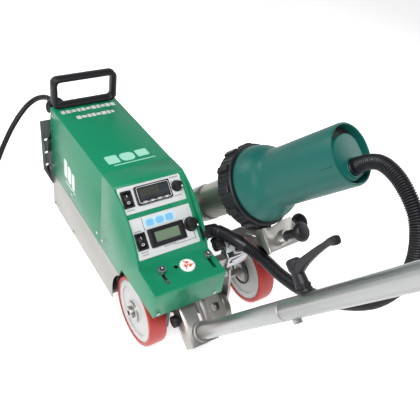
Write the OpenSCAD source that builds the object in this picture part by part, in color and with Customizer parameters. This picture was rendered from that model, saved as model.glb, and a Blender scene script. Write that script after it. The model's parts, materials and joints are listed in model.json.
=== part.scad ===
// Walk-behind hot-air seam welder: X to the right, Y forward (direction of travel), Z up.

/* [Body] */
// Width across the side walls
body_w = 140; // [130:1:150]
// Length from the deck's near edge to the far end
body_l = 474; // [450:1:500]
// Height of the roof at the far end
roof_z = 297; // [285:1:305]
// Thickness of the sheet-metal walls
wall = 2.5; // [2:0.5:3]
// Height of the roof at the top of the console
brow_z = 309; // [305:1:315]
// Height of the flat deck
deck_z = 208; // [205:1:212]
// Bulge of the raised cheeks over a straight line
cheek_bulge = 17; // [10:1:20]

/* [Wheels] */
// Radius of the two driven wheels
wheel_r = 71; // [68:0.5:73]
// Width of the driven wheels
wheel_w = 36; // [30:1:40]
// Radius of the wheel axle
axle_r = 8; // [7:0.5:9]
// Radius of the steel seam roller
roller_r = 38; // [34:1:40]

/* [Blower] */
// Angle of the blower above the floor as parked, in degrees
blower_rise = 46.2; // [44:0.1:48]
// Turn of the blower in plan, in degrees
blower_turn = -72.8; // [-75:0.1:-70]
// Radius of the heating tube
tube_r = 33; // [30:1:36]
// Radius of the handle barrel
barrel_r = 49; // [46:1:50]
// Radius of the wide bell
bell_r = 67; // [64:1:68]

/* [Guide bar] */
// Outside diameter of the lower guide tube
guide_d = 30; // [28:1:32]
// Length of the lower guide tube
lower_l = 305; // [290:5:320]
// Length of the upper guide tube that shows
upper_l = 760; // [600:10:800]
// Lean of the guide bar back from upright, in degrees
guide_lean = 34; // [32:1:36]

/* [Cable and hose] */
// Outside diameter of the mains cable
cable_d = 11; // [9:1:12]
// Outside diameter of the corrugated hose
hose_d = 23; // [20:1:25]

/* [Hidden] */
$fn = 64;
half = body_w / 2;
far_y = body_l;
seam_y = 217;
bend_y = 171;
crease_y = 62;
cover_low = 152;
skirt_top = 131;
skirt_low = 41;
gap = 0.5;
wheel_y = 85.6;
wheel_z = wheel_r;
left_wheel_x = -61;
right_wheel_x = 188;
rim_r = wheel_r - 9;
cheek_left = -20;
cheek_right = 58;
cheek_t = 7;
bearing_r = 14;
front_y = 402;
front_r = 30;
roller_x = 108;
roller_w = 13;
roller_y = 48;
roller_z = roller_r;
rail_y = 50;
rail_z = 176;
rail_s = 16;
rail_end = 156;
pivot_y = 62;
pivot_z = 206;
blower_at = [148.5, 45.3, 345.7];
tube_low = -160;
guide_x = 16;
foot_y = -22;
foot_z = 89;
guide_pivot_y = foot_y + 62 * cos(guide_lean) - 3 * sin(guide_lean);
guide_pivot_z = foot_z + 62 * sin(guide_lean) + 3 * cos(guide_lean);
plate_rise = atan2(brow_z - deck_z - 3, bend_y - crease_y);
plate_len = norm([bend_y - crease_y, brow_z - deck_z - 3]);
gland_at = [-54, far_y + 4, 288];
hose_exit = [half, 84, 226];
clamp_s = 365;
spigot_l = 150;
hose_low = [[92, 77, 229.5], [100, 62, 233], [110, 35, 235], [126, 10, 228], [140, -12, 220],
    [146, -54, 218], [150, -96, 225]];
hose_high = [[150.2, -98.5, 226], [154, -140, 244], [160, -186, 275], [167, -225, 318], [171, -246, 372],
    [174, -246, 426], [178, -222, 473], [182, -180, 500], [185, -140, 505], [185, -112, 490], [183, -88, 460]];
cable_points = [[-54, far_y + 33.8, 288], [-56, far_y + 49.5, 286.2], [-62.5, far_y + 64, 281],
    [-72, far_y + 74.5, 273], [-83.5, far_y + 79.8, 263], [-97, far_y + 79.5, 251.5], [-116, far_y + 74.5, 233],
    [-138, far_y + 66, 207], [-161, far_y + 55, 174], [-185, far_y + 42.5, 134], [-209, far_y + 29, 93],
    [-234, far_y + 15, 56], [-259, far_y + 1, 28], [-285, far_y - 11, 10.8], [-312, far_y - 20, 6.2],
    [-340, far_y - 23.5, 5.7]];
coil_at = [-345, far_y - 106, 0];
coil_r = 64;
plug_at = [-352, far_y - 238, 20.5];
switch_spots = [[-52, 25], [-50, 101]];
// The claimed origin is the middle of the whole part on the floor
mid_x = (right_wheel_x + wheel_w + 9 - 91) / 2;
mid_y = (far_y + 33 + foot_y - (lower_l + upper_l + 8) * sin(guide_lean) - 16) / 2;

module placed() translate([-mid_x, -mid_y, 0]) children();

// ---- helpers ----
module side_plate(x, t, points) translate([x, 0, 0]) rotate([90, 0, 90]) linear_extrude(t) polygon(points);
module x_rod(x, len, r, y, z) translate([x, y, z]) rotate([0, 90, 0]) cylinder(h = len, r = r);
module y_rod(x, y, len, r, z) translate([x, y, z]) rotate([-90, 0, 0]) cylinder(h = len, r = r);
module box(a, b) translate(a) cube(b - a);
module rounded_rect(w, h, r) {
    square([w - 2 * r, h], center = true);
    square([w, h - 2 * r], center = true);
    for (x = [-1, 1], y = [-1, 1]) translate([x * (w / 2 - r), y * (h / 2 - r)]) circle(r);
}
module plate(w, h, r, t) linear_extrude(t) rounded_rect(w, h, r);
// Lies on the sloping console: u across, v down from the brow, n out of the face
module on_console(u, v, n = 0)
    translate([u, bend_y, brow_z - 1])
    rotate([plate_rise, 0, 0]) translate([0, -v, n]) children();
// Openings for the instruments, cut through the plates and the cover
module console_holes() {
    on_console(-2, 24, -6) plate(64.6, 29.6, 1, 12);
    on_console(0, 101, -6) plate(60.6, 27.6, 1, 12);
    for (p = switch_spots) on_console(p[0], p[1], -6) plate(17, 27, 0.5, 12);
}
// Blower frame: +Z along the axis to the handle end, +X down to the rail, +Y to the right
module blower_frame() translate(blower_at) rotate([0, 90 - blower_rise, blower_turn]) children();
// Guide frame: +Z up the guide bar, origin at the bar's foot
module guide_frame() translate([guide_x, foot_y, foot_z]) rotate([guide_lean, 0, 0]) children();
function bulge_arc(p, q, b, n) =
    let (c = norm(q - p), r = (c * c / 4 + b * b) / (2 * b), m = (p + q) / 2,
        u = (q - p) / c, v = [-u[1], u[0]], o = m - v * (r - b), h = asin(c / 2 / r))
    [for (i = [1:n - 1]) let (t = -h + 2 * h * i / n) o + r * (u * sin(t) + v * cos(t))];
cheek_line = bulge_arc([crease_y - 1, deck_z + 2], [bend_y + 5, brow_z], cheek_bulge, 10);
cover_bottom = [[seam_y, skirt_top], [132, skirt_top], [124, cover_low], [0, cover_low]];
cover_out = concat(cover_bottom, [[0, deck_z - 2], [2, deck_z], [crease_y, deck_z + 2],
    [bend_y, brow_z - 1], [bend_y + 5, brow_z], [seam_y, brow_z - 3]]);
cheek_out = concat(cover_bottom, [[0, deck_z - 2], [2, deck_z], [crease_y - 1, deck_z + 2]],
    cheek_line, [[bend_y + 5, brow_z], [seam_y, brow_z - 3]]);

// Turns +Z to the direction v
module along(v) rotate([0, acos(v[2] / norm(v)), atan2(v[1], v[0])]) children();

// ---- chassis ----
module cheek_shape() difference() {
    polygon([[32, 60], [32, 112], [18, 120], [18, 147], [216, 147], [216, 49], [160, 49], [146, 30], [66, 30]]);
    translate([wheel_y, wheel_z]) circle(bearing_r);
    translate([guide_pivot_y, guide_pivot_z]) circle(5);
}
module cheek(x) translate([x, 0, 0]) rotate([90, 0, 90]) linear_extrude(cheek_t) cheek_shape();
module rail_guide() difference() {
    box([-40, rail_y - 15, 148], [cheek_right + 6, rail_y + 15, rail_z + 13]);
    box([-41, rail_y - rail_s / 2 - 0.3, rail_z - rail_s / 2 - 0.3],
        [cheek_right + 7, rail_y + rail_s / 2 + 0.3, rail_z + rail_s / 2 + 0.3]);
    box([-28, rail_y - 20, 155], [46, rail_y + 20, 200]);
}
module chassis_frame() color("dimgray") {
    difference() {
        union() {
            cheek(cheek_left);
            cheek(cheek_right);
            box([-66, 165, 43], [66, far_y - 5, 49]);
            box([cheek_left, 40, 147], [cheek_right + cheek_t, 216, 150.5]);
            rail_guide();
            for (x = [-58, 52]) box([x, front_y - 12, 48], [x + 6, front_y + 12, 72]);
        }
        for (x = [-47, 17]) box([x, front_y - 36, 42], [x + 30, front_y + 36, 50]);
        x_rod(-60, 120, 5.05, front_y, front_r);
        x_rod(-62, 124, 6, front_y, 62);
        box([cheek_left - 1, motor_y - 21, 49], [cheek_left + 8, motor_y + 23, motor_z + 23]);
    }
    for (x = [-52, 46]) difference() {
        box([x, front_y - 8, 22], [x + 4, front_y + 8, 43]);
        x_rod(x - 1, 6, 5.05, front_y, front_r);
    }
}
module skirt_side(x) translate([x, 0, 0]) rotate([90, 0, 90]) linear_extrude(1.5) difference() {
    polygon([[130, skirt_low], [far_y, skirt_low], [far_y, skirt_top - gap], [130, skirt_top - gap]]);
    translate([wheel_y, wheel_z]) circle(wheel_r + 3);
}
module lower_skirt() color("lightgray") {
    skirt_side(-half);
    skirt_side(half - 1.5);
    box([-half, far_y - 1.5, skirt_low], [half, far_y, skirt_top - gap]);
    difference() {
        box([-half, 165, skirt_low], [half, far_y, skirt_low + 1.5]);
        for (x = [-53, 16]) box([x, front_y - 38, 40], [x + 37, front_y + 38, 44]);
    }
}
module rear_housing() color("seagreen") difference() {
    side_plate(-half, body_w, [[seam_y + gap, skirt_top], [far_y, skirt_top], [far_y, roof_z - 4],
        [far_y - 4, roof_z], [seam_y + gap, brow_z - 3]]);
    side_plate(-half + wall, body_w - 2 * wall, [[seam_y - 1, skirt_top - 1],
        [far_y - wall, skirt_top - 1], [far_y - wall, roof_z - wall], [seam_y - 1, brow_z - 3 - wall]]);
    for (i = [0:2]) box([-half - 1, far_y - 14, 240 + i * 14], [-half + wall + 1, far_y - 5, 246 + i * 14]);
}
module front_cover() color("seagreen") difference() {
    union() {
        side_plate(-half, body_w, cover_out);
        side_plate(-half, 4, cheek_out);
        side_plate(half - 4, 4, cheek_out);
    }
    side_plate(-half + wall, body_w - 2 * wall, [[seam_y + 1, skirt_top - 1], [131, skirt_top - 1],
        [123, cover_low - 1], [wall, cover_low - 1], [wall, deck_z - wall], [crease_y + 1, deck_z + 2 - wall],
        [bend_y + 1, brow_z - 1 - wall], [seam_y + 1, brow_z - 3 - wall]]);
    box([half - 5, rail_y - 10, rail_z - 10], [half + 1, rail_y + 10, rail_z + 10]);
    for (x = [-36, 57]) {
        box([x - 3.4, 15, deck_z - 6], [x + 3.4, 52, deck_z + 3]);
    }
    translate([-6, 44, deck_z - 6]) cylinder(h = 10, r = 4);
    translate(hose_exit) rotate([0, 90, 0]) cylinder(h = 10, r = 14, center = true);
    console_holes();
}
module upper_console_plate() color("gainsboro") difference() {
    on_console(-3.5, 27) plate(123, 48, 2, 1.5);
    console_holes();
}
module lower_console_plate() color("gainsboro") difference() {
    on_console(-2.5, 96) plate(123, 72, 2, 1.5);
    console_holes();
}
module temperature_controller() color("#202224") {
    on_console(-2, 24, 1.5) difference() {
        plate(68, 33, 2.5, 6);
        translate([0, 2, 4]) plate(61, 22, 1.5, 3);
    }
    on_console(-2, 24, -45) plate(64, 29, 1, 46);
}
module controller_keys() color("gray") for (i = [0:3]) on_console(-23 + 14 * i, 37.5, 7.5) plate(9, 3.6, 1, 1.2);
module speed_display() color("#202224") {
    on_console(0, 101, 1.5) difference() {
        plate(70, 33, 2, 5);
        translate([0, 0, 3.5]) plate(49, 19, 0.5, 3);
    }
    on_console(0, 101, -40) plate(60, 27, 1, 41);
}
module display_windows() color("#6f9c63") {
    on_console(-2, 22, 5.5) plate(60.4, 21.4, 1.2, 1);
    on_console(0, 101, 5) plate(48.4, 18.4, 0.4, 0.8);
}
module switch_frames() color("#1c1c1e") for (p = switch_spots) on_console(p[0], p[1], 1.5) difference() {
    union() {
        plate(20, 30, 1.5, 3);
        translate([0, 0, -26]) plate(16, 26, 0.5, 27);
    }
    translate([0, 0, -13]) plate(14, 24, 0.5, 20);
}
module rocker(p) on_console(p[0], p[1], -6) rotate([0, 90, 0]) intersection() {
    translate([0, 0, -6.4]) cylinder(h = 12.8, r = 12.9);
    translate([-8.5, 0, 0]) cube([9, 22.2, 12.8], center = true);
}
module blower_switch() color("#262628") rocker(switch_spots[0]);
module drive_switch() color("#262628") rocker(switch_spots[1]);
module knob(v, r) on_console(v[0], v[1], 1.9) {
    cylinder(h = 2, r = r + 1.5);
    translate([0, 0, 2]) cylinder(h = 11, r1 = r, r2 = r - 1);
}
module temperature_knob() color("#1c1c1e") knob([46, 24], 9);
module speed_knob() color("#1c1c1e") knob([50, 97], 12);
module carrying_handle() color("#242426") translate([0, far_y - 2, (roof_z + 365) / 2 + 0.65])
    rotate([90, 0, 0]) linear_extrude(20) difference() {
        rounded_rect(138, 365 - roof_z, 14);
        rounded_rect(116, 365 - roof_z - 19, 6);
    }
module end_bracket() color("#4a4c4e") difference() {
    translate([0, far_y + 3.1, 0]) rotate([90, 0, 0]) linear_extrude(3)
        polygon([[60, 97], [60, 255], [-60, 264], [-91, 264], [-89, 141], [-71, 97]]);
    for (z = [152, 184.5, 217]) y_rod(-81, far_y - 2, 8, 3.5, z);
}
module cable_gland() color("#202022") translate(gland_at) rotate([-90, 0, 0]) {
    translate([0, 0, -3.9]) cylinder(h = 9, r = 17);
    translate([0, 0, 5]) cylinder(h = 12, r1 = 20, r2 = 14);
    translate([0, 0, 17]) cylinder(h = 12, r1 = 11, r2 = 8.5);
}
screw_spots = [[231, 154], [359, 154], [466, 154], [231, 46], [359, 46], [466, 46], [466, 285], [206, 154]];
module housing_screws() color("silver") {
    for (p = screw_spots, s = [-1, 1]) x_rod(s > 0 ? half : -half - 1.5, 1.5, 3.2, p[0], p[1]);
    for (x = [-60, 54]) y_rod(x, -1.5, 1.5, 3.2, 159);
}
module thumb_screw(x, y) translate([x, y, deck_z - 10]) {
    cylinder(h = 12, r = 2);
    translate([0, 0, 12.6]) cylinder(h = 10, r = 8);
    translate([0, 0, 12.6]) sphere(r = 1.9);
}
module left_thumb_screw() color("silver") thumb_screw(-36, 43);
module right_thumb_screw() color("silver") thumb_screw(57, 42);
module deck_badge() color("white") translate([13, 38, deck_z + 1.22]) rotate([1.91, 0, 0]) {
    cylinder(h = 3, r = 14);
}
module drive_board() color("darkgreen") {
    box([-50, 236, 60], [50, 380, 63]);
    box([-40, 250, 63], [-10, 300, 90]);
    box([4, 250, 63], [40, 330, 84]);
    for (x = [-46, 42], y = [240, 372]) translate([x, y, 49]) cylinder(h = 11, r = 3);
}

// ---- running gear ----
module wheel_axle() color("silver") {
    x_rod(left_wheel_x - 6, right_wheel_x + wheel_w + 12 - left_wheel_x, axle_r, wheel_y, wheel_z);
    for (x = [left_wheel_x - 9, right_wheel_x + wheel_w + 2]) x_rod(x, 7, 12, wheel_y, wheel_z);
}
module wheel_hub(x) translate([x, wheel_y, wheel_z]) rotate([0, 90, 0]) difference() {
    union() {
        translate([0, 0, 2]) cylinder(h = wheel_w - 4, r = rim_r - 0.01);
        translate([0, 0, -1]) cylinder(h = wheel_w + 2, r = 20);
    }
    translate([0, 0, -2]) cylinder(h = wheel_w + 4, r = axle_r);
    for (s = [-1, 1]) translate([0, 0, wheel_w / 2 + s * (wheel_w / 2)]) difference() {
        cylinder(h = 10, r = 50, center = true);
        cylinder(h = 12, r = 22, center = true);
    }
}
module wheel_hubs() color("whitesmoke") {
    wheel_hub(left_wheel_x);
    wheel_hub(right_wheel_x);
}
module tyre(x) translate([x, wheel_y, wheel_z]) rotate([0, 90, 0]) difference() {
    union() {
        translate([0, 0, 3]) cylinder(h = wheel_w - 6, r = wheel_r);
        cylinder(h = 3, r1 = wheel_r - 3, r2 = wheel_r);
        translate([0, 0, wheel_w - 3]) cylinder(h = 3, r1 = wheel_r, r2 = wheel_r - 3);
    }
    translate([0, 0, -1]) cylinder(h = wheel_w + 2, r = rim_r);
}
module tyres() color("firebrick") for (x = [left_wheel_x, right_wheel_x]) tyre(x);
module axle_bearings() color("lightsteelblue") for (x = [cheek_left, cheek_right])
    translate([x, wheel_y, wheel_z]) rotate([0, 90, 0]) difference() {
        cylinder(h = cheek_t, r = bearing_r - 0.01);
        translate([0, 0, -1]) cylinder(h = cheek_t + 2, r = axle_r + 0.05);
    }
motor_y = 178;
motor_z = 100;
sprocket_x = 38;
big_r = 34;
small_r = 15;
module sprocket(r, teeth, bore) difference() {
    union() {
        cylinder(h = 4, r = r - 3);
        for (i = [0:teeth - 1]) rotate(360 / teeth * i) translate([r - 4, -1.5, 0.5]) cube([4.5, 3, 3]);
        cylinder(h = 12, r = bore + 5);
    }
    translate([0, 0, -1]) cylinder(h = 14, r = bore);
}
module axle_sprocket() color("gray") translate([sprocket_x, wheel_y, wheel_z]) rotate([0, 90, 0])
    sprocket(big_r, 28, axle_r);
module drive_motor() color("#3a3d40") {
    box([-66.9 + 8, motor_y - 20, motor_z - 22], [sprocket_x - 30, motor_y + 22, motor_z + 22]);
    x_rod(sprocket_x - 30, 22, 21, motor_y, motor_z);
    box([-50, motor_y - 14, 49], [-10, motor_y + 18, motor_z - 21]);
}
module motor_sprocket() color("gray") {
    translate([sprocket_x, motor_y, motor_z]) rotate([0, 90, 0]) sprocket(small_r, 12, 4);
    x_rod(sprocket_x - 7.5, 22, 4, motor_y, motor_z);
}
chain_len = norm([motor_y - wheel_y, motor_z - wheel_z]);
module belt_line(grow) hull() {
    circle(big_r + grow);
    translate([chain_len, 0]) circle(small_r + grow);
}
module drive_chain() color("#555555") translate([sprocket_x + 0.8, wheel_y, wheel_z])
    rotate([90, 0, 90]) rotate(atan2(motor_z - wheel_z, motor_y - wheel_y)) linear_extrude(2.4)
    difference() {
        belt_line(4.5);
        belt_line(1.2);
    }
module front_rollers() color("#2b2b2d") for (x = [-46, 18]) translate([x, front_y, front_r])
    rotate([0, 90, 0]) difference() {
        cylinder(h = 28, r = front_r);
        translate([0, 0, -1]) cylinder(h = 30, r = 5.05);
    }
module cross_pins() color("silver") {
    x_rod(-56, 112, 5, front_y, front_r);
    x_rod(cheek_left - 2, cheek_right + cheek_t + 4 - cheek_left, 5, guide_pivot_y, guide_pivot_z);
}
module roller_arm() color("lightgray") {
    difference() {
        union() {
            side_plate(124, 5, [[38, 30], [58, 30], [70, 100], [70, 136], [50, 136], [40, 90]]);
            x_rod(cheek_right + cheek_t, 64, 9, 58, 122);
        }
        x_rod(120, 14, 5, roller_y, roller_z);
    }
    x_rod(103, 30, 4.95, roller_y, roller_z);
    x_rod(102, 5, 8, roller_y, roller_z);
}
module steel_roller() color("silver") translate([roller_x, roller_y, roller_z]) rotate([0, 90, 0])
    difference() {
        cylinder(h = roller_w, r = roller_r);
        translate([0, 0, -1]) cylinder(h = roller_w + 2, r = 5);
    }

// ---- blower carriage ----
module slide_rail() color("gainsboro") difference() {
    box([-34, rail_y - rail_s / 2, rail_z - rail_s / 2], [rail_end, rail_y + rail_s / 2, rail_z + rail_s / 2]);
    box([90, rail_y - 5, rail_z - 5], [rail_end + 1, rail_y + 5, rail_z + 5]);
}
module saddle_clamp() color("lightsteelblue") difference() {
    union() {
        box([104, rail_y - 13, rail_z - 12], [148, rail_y + 13, rail_z + 13]);
        side_plate(104, 44, [[rail_y - 13, rail_z + 13], [rail_y + 13, rail_z + 13],
            [pivot_y + 16, pivot_z - 8], [pivot_y + 14, pivot_z + 8], [pivot_y, pivot_z + 12],
            [pivot_y - 10, pivot_z + 4], [pivot_y - 16, rail_z + 18]]);
    }
    box([103, rail_y - rail_s / 2, rail_z - rail_s / 2], [149, rail_y + rail_s / 2, rail_z + rail_s / 2]);
    x_rod(103, 46, 5, pivot_y, pivot_z);
    box([124, pivot_y - 22, pivot_z - 14], [131, pivot_y + 22, pivot_z + 16]);
    y_rod(112, rail_y - 20, 16, 3, rail_z);
}
module saddle_knob() color("#1c1c1e") {
    y_rod(96, rail_y + 20, 10, 7.9, rail_z + 27);
    difference() {
        x_rod(88, 15.5, 10.6, rail_y + 14, rail_z + 27);
        x_rod(87, 3, 5, rail_y + 14, rail_z + 27);
    }
}
// Bracket frame: +X down the bend edge of the bracket, +Y across its front plate, +Z along the blower's axis
module bracket_frame() blower_frame() rotate(-12.6) children();
module at_tilt() bracket_frame() translate([97.5, 17, -7.7]) children();
module at_side() bracket_frame() translate([86, 54, -17]) rotate([-90, 0, 0]) children();
module bush(r, h) difference() {
    cylinder(h = h, r = r);
    translate([0, 0, -8]) cylinder(h = h + 9, r = 3.05);
}
module blower_bracket() color("lightgray") {
    difference() {
        union() {
            bracket_frame() translate([70, -19, -11.7]) cube([47, 73, 4]);
            bracket_frame() translate([72, 50, -34]) cube([30, 4, 26]);
            side_plate(124.6, 5.6, [[50, 199], [56, 194], [68, 194], [74, 202], [76, 216], [52, 247],
                [-4, 290], [-37, 263], [-34, 254], [33, 243]]);
            bracket_frame() rotate(-28) translate([64.2, 0, -36.5]) cube([18, 44, 3]);
        }
        blower_frame() translate([0, 0, -33.5]) cylinder(h = 40, r = 75.7);
        blower_frame() translate([0, 0, -44]) cylinder(h = 12, r = 64.2);
        x_rod(120, 16, 5.05, pivot_y, pivot_z);
        at_tilt() translate([0, 0, -9]) cylinder(h = 12, r = 3.05);
        at_side() translate([0, 0, -9]) cylinder(h = 12, r = 3.05);
    }
    at_tilt() bush(11, 11);
    at_side() bush(9, 5);
}
module plunger(pin, neck) {
    translate([0, 0, -10]) cylinder(h = pin + 10.5, r = 3);
    translate([0, 0, pin]) cylinder(h = neck, r = 8);
    translate([0, 0, pin + neck]) cylinder(h = 8, r1 = 13, r2 = 17);
    translate([0, 0, pin + neck + 8]) cylinder(h = 7, r1 = 17, r2 = 12);
}
module tilt_plunger() color("#1c1c1e") at_tilt() plunger(12, 26);
module side_plunger() color("#1c1c1e") at_side() plunger(6, 14);

// ---- blower ----
module tube_shape(r1, r2, a, b) translate([0, 0, a]) cylinder(h = b - a, r1 = r1, r2 = r2);
module heating_tube() color("silver") blower_frame() difference() {
    union() {
        tube_shape(tube_r, tube_r, tube_low, -36);
        tube_shape(64, 64, -40, -34);
        tube_shape(40, 60, -48, -40);
    }
    tube_shape(tube_r - 1.5, tube_r - 1.5, tube_low - 1, -33);
}
module heating_element() color("antiquewhite") blower_frame() difference() {
    tube_shape(tube_r - 3, tube_r - 3, -140, -34.5);
    for (i = [0:5]) rotate(60 * i) translate([18, 0, -141]) cylinder(h = 108, r = 6);
}
module blower_collar() color("#1d1d20") blower_frame() difference() {
    union() {
        tube_shape(71, 72, -33.5, -4);
        tube_shape(72, 69, -4, 0);
        for (i = [0:11]) rotate(30 * i + 12) translate([68, -5, -31]) cube([7.5, 10, 24]);
    }
    tube_shape(65.5, 65.5, -35, 1);
}
module blower_shell() color("teal") blower_frame() {
    difference() {
        union() {
            tube_shape(65.4, 65.4, -31, 0.2);
            intersection() {
                sphere(r = bell_r, $fn = 96);
                tube_shape(80, 80, 0, 60);
            }
            tube_shape(barrel_r, barrel_r, 30, 191);
        }
        tube_shape(61, 61, -32, 0.3);
        intersection() {
            sphere(r = bell_r - 4, $fn = 96);
            tube_shape(80, 80, -1, 50);
        }
        tube_shape(barrel_r - 4, barrel_r - 4, 38, 168);
        tube_shape(barrel_r - 5, barrel_r - 5, 176, 192);
        translate([20, -6, 160]) cylinder(h = 20, r = 11.8);
        for (i = [0:5]) rotate(60 * i + 30) translate([33, 0, 166]) cylinder(h = 12, r = 5);
    }
}
module blower_motor() color("#43464a") blower_frame() difference() {
    union() {
        tube_shape(36, 36, 48, 130);
        for (a = [0:120:240]) rotate(a) translate([30, -5, 60]) cube([14.7, 10, 30]);
    }
    tube_shape(6, 6, 46, 132);
}
module fan_impeller() color("gainsboro") blower_frame() {
    tube_shape(50, 50, 10, 13);
    for (i = [0:9]) rotate(36 * i) translate([14, -1, -14]) cube([34, 2, 26]);
    tube_shape(9, 9, -16, 12);
    tube_shape(5.5, 5.5, 12, 128);
}
mouth_w = 40;
module nozzle() color("silver") blower_frame() difference() {
    union() {
        translate([0, 0, tube_low - 6]) cylinder(h = 24, r = tube_r + 1.5);
        hull() {
            translate([0, 0, tube_low - 8]) cylinder(h = 4, r = tube_r + 1.5, $fn = 32);
            translate([2, 10, tube_low - 92]) cube([16, mouth_w, 2], center = true);
        }
        hull() {
            translate([2, 10, tube_low - 92]) cube([16, mouth_w, 2], center = true);
            translate([26, 14, tube_low - 140]) cube([6, mouth_w, 4], center = true);
        }
    }
    translate([0, 0, tube_low - 0.01]) cylinder(h = 30, r = tube_r);
    hull() {
        translate([0, 0, tube_low - 5]) cylinder(h = 6, r = tube_r - 1.5, $fn = 32);
        translate([2, 10, tube_low - 92]) cube([13, mouth_w - 3, 1], center = true);
    }
    hull() {
        translate([2, 10, tube_low - 91]) cube([13, mouth_w - 3, 4], center = true);
        translate([27, 14, tube_low - 144]) cube([3.4, mouth_w - 3, 6], center = true);
    }
}

// ---- guide bar ----
module guide_bracket() color("lightgray") guide_frame() difference() {
    union() {
        translate([-26, -22, -15]) cube([5, 92, 31]);
        translate([-26, -22, 11]) cube([31, 82, 5]);
        translate([17, -14, 0]) cube([14, 84, 16]);
        translate([-26, -22, 6]) cube([57, 38, 5]);
        translate([-26, -22, -15]) cube([44, 5, 22]);
        translate([0, 0, 6]) cylinder(h = 22, r = guide_d / 2 + 4);
    }
    translate([0, 0, 12]) cylinder(h = 40, r = guide_d / 2);
    translate([-30, 62, 3]) rotate([0, 90, 0]) cylinder(h = 70, r = 5.05);
    translate([-30, 34, 1]) rotate([0, 90, 0]) cylinder(h = 10, r = 4.05);
}
module bracket_knob() color("#1c1c1e") guide_frame() translate([-26, 34, 1]) rotate([0, 90, 0]) {
    translate([0, 0, -13.6]) cylinder(h = 9.6, r = 11);
    translate([0, 0, -4.3]) cylinder(h = 4, r = 7);
    translate([0, 0, -1]) cylinder(h = 8, r = 4);
}
module lower_guide_tube() color("silver") guide_frame() {
    difference() {
        translate([0, 0, 12]) cylinder(h = lower_l - 12, r = guide_d / 2);
        translate([0, 0, 30]) cylinder(h = lower_l, r = guide_d / 2 - 2.5);
    }
    difference() {
        translate([0, 0, 180]) cylinder(h = lower_l + spigot_l - 180, r = guide_d / 2 - 2.5);
        translate([0, 0, 179]) cylinder(h = lower_l + spigot_l, r = guide_d / 2 - 5);
        for (s = [lower_l + 15, clamp_s - 8]) translate([-6, -20, s]) cube([12, 40, 76]);
    }
}
module upper_guide_tube() color("gainsboro") guide_frame() difference() {
    union() {
        translate([0, 0, lower_l + 1]) cylinder(h = upper_l, r = guide_d / 2);
        translate([0, 0, lower_l + upper_l - 12]) cylinder(h = 30, r = 19);
        translate([-100, 0, lower_l + upper_l + 8]) rotate([0, 90, 0]) cylinder(h = 200, r = 12);
        translate([0, -guide_d / 2 + 1, lower_l + 18]) rotate([90, 0, 0]) cylinder(h = 7, r = 6.5);
    }
    translate([0, 0, lower_l]) cylinder(h = upper_l - 40, r = guide_d / 2 - 2.45);
    translate([0, 10, clamp_s]) rotate([-90, 0, 0]) cylinder(h = 12, r = 4.05);
}
module handle_grips() color("#222224") guide_frame() for (s = [-1, 1])
    translate([s * 26, 0, lower_l + upper_l + 8]) rotate([0, 90 * s, 0]) difference() {
        cylinder(h = 78, r = 16);
        translate([0, 0, -1]) cylinder(h = 75.5, r = 12);
    }
module clamp_lever() color("#1c1c1e") guide_frame() translate([0, 0, clamp_s]) {
    rotate([-90, 0, 0]) {
        translate([0, 0, guide_d / 2 - 2.4]) cylinder(h = 5, r = 4);
        translate([0, 0, guide_d / 2 + 0.5]) cylinder(h = 30, r1 = 11, r2 = 8);
        translate([0, 0, guide_d / 2 + 30]) cylinder(h = 18, r = 10);
    }
    translate([-7, 0, 0]) rotate([90, 0, 90]) linear_extrude(14)
        polygon(concat([[44, -6], [63, -8]], bulge_arc([63, -8], [66, 94], -10, 8),
            [[66, 94], [60, 98], [54, 92]], bulge_arc([54, 92], [44, 24], 8, 6)));
}

// ---- hose and cable ----
function unit(v) = v / norm(v);
// A smooth run through hand-set points
function spline(p, n) = let (k = len(p)) [for (i = [0:k - 2], j = [0:n - 1]) let (t = j / n,
    a = p[max(i - 1, 0)], b = p[i], c = p[i + 1], d = p[min(i + 2, k - 1)])
    0.5 * (2 * b + (c - a) * t + (2 * a - 5 * b + 4 * c - d) * t * t + (3 * b - a - 3 * c + d) * t * t * t)];
function run(p, n) = concat(spline(p, n), [p[len(p) - 1]]);
module tube_path(points, d, sides, steps) {
    c = run(points, steps);
    n = len(c);
    ring_at = [for (i = [0:n - 1]) let (t = unit(c[min(i + 1, n - 1)] - c[max(i - 1, 0)]),
        side = unit(cross(t, [0.12, 0.31, 0.94])), up = cross(side, t))
        [for (k = [0:sides - 1]) let (a = 360 * k / sides) c[i] + d / 2 * (cos(a) * side + sin(a) * up)]];
    verts = [for (r = ring_at, v = r) v];
    polyhedron(points = verts, faces = concat(
        [[for (k = [0:sides - 1]) k], [for (k = [sides - 1:-1:0]) (n - 1) * sides + k]],
        [for (i = [0:n - 2], k = [0:sides - 1]) let (m = (k + 1) % sides)
            [i * sides + k, (i + 1) * sides + k, (i + 1) * sides + m, i * sides + m]]));
}
module hose_gland() color("#202022") {
    translate(hose_exit) rotate([0, 90, 0]) {
        translate([0, 0, -4]) cylinder(h = 4, r = 13.99);
        cylinder(h = 3, r = 16);
    }
    hull() {
        translate(hose_exit) rotate([0, 90, 0]) cylinder(h = 3, r = 13);
        translate(hose_low[0]) along(hose_low[1] - hose_low[0]) translate([0, 0, -4.2]) cylinder(h = 3, r = 13);
    }
}
module hose_lower() color("#18181a") tube_path(hose_low, hose_d, 12, 4);
module hose_upper() color("#18181a") tube_path(hose_high, hose_d, 12, 4);
module mains_cable() color("#151517") tube_path(cable_points, cable_d, 8, 3);
module cable_coil() color("#151517") translate(coil_at) rotate_extrude() translate([coil_r, 15]) circle(15);
module mains_plug() color("#1c1c1e") translate(plug_at) rotate([90, 0, 90]) {
    cylinder(h = 38, r1 = 12, r2 = 20);
    translate([0, 0, 38]) cylinder(h = 8, r = 20);
    for (x = [-9.5, 9.5]) translate([x, 0, 45]) cylinder(h = 19, r = 2.4);
}

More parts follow.
